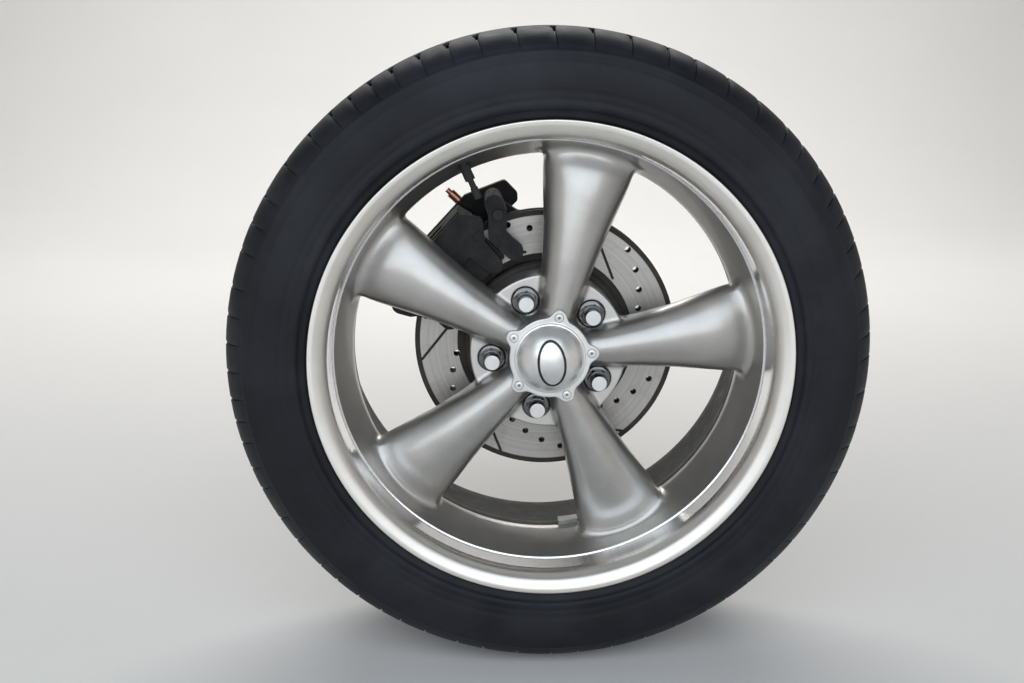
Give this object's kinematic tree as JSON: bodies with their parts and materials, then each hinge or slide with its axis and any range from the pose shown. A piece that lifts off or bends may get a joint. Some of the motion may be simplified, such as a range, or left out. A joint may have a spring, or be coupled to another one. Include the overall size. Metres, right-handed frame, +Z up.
{
  "type": "car rear wheel with disc brake and axle shaft",
  "caption": "Spoked alloy road wheel with tyre, lug nuts, centre cap, drilled brake disc and sliding caliper, turning on a splined rear axle shaft.",
  "frame": {"origin": "on the wheel's spin axis, in the plane of the axle housing's bolt flange", "axes": "+Y inboard along the spin axis, -Y towards the side that shows, +Z up"},
  "size_m": [0.6685, 0.8624, 0.6686],
  "materials": {
    "wheel_paint": "metallic grey paint, machined lip",
    "tyre_rubber": "matte black rubber",
    "cap_metal": "satin machined",
    "screw_steel": "plain steel",
    "nut_chrome": "bright chrome",
    "stud_steel": "plain steel",
    "valve_rubber": "matte black rubber",
    "weight_metal": "dull grey",
    "disc_iron": "ground faces, black hat",
    "shaft_steel": "forged steel",
    "bearing_steel": "ground steel",
    "bracket_paint": "satin black",
    "caliper_iron": "black coated casting",
    "bolt_zinc": "zinc plated",
    "lining": "dark friction material",
    "piston_steel": "plated steel",
    "boot_rubber": "matte black rubber",
    "fitting_copper": "copper coloured"
  },
  "bodies": {
    "axle_end": {"bearing_outer_ring": "bearing_steel", "bearing_retainer": "bracket_paint", "caliper_bracket": "bracket_paint", "caliper_anchor": "caliper_iron", "anchor_bolts": "bolt_zinc", "pad_linings": "lining", "pad_backings": "bracket_paint", "caliper_body": "caliper_iron", "caliper_piston": "piston_steel", "guide_pins": "bolt_zinc", "guide_boots": "boot_rubber", "bleed_screw": "bolt_zinc", "hose_fitting": "fitting_copper"},
    "wheel": {"alloy_wheel": "wheel_paint", "tyre": "tyre_rubber", "centre_cap": "cap_metal", "cap_screws": "screw_steel", "lug_nuts": "nut_chrome", "wheel_studs": "stud_steel", "valve_stem": "valve_rubber", "balance_weight": "weight_metal", "brake_disc": "disc_iron", "axle_shaft": "shaft_steel", "bearing_inner_ring": "bearing_steel", "bearing_lock_ring": "bearing_steel"}
  },
  "joints": [
    {"name": "wheel_spin", "type": "hinge", "parent": "axle_end", "child": "wheel", "pos_m": [0, 0, 0], "axis": [0, 1, 0], "continuous": true}
  ]
}
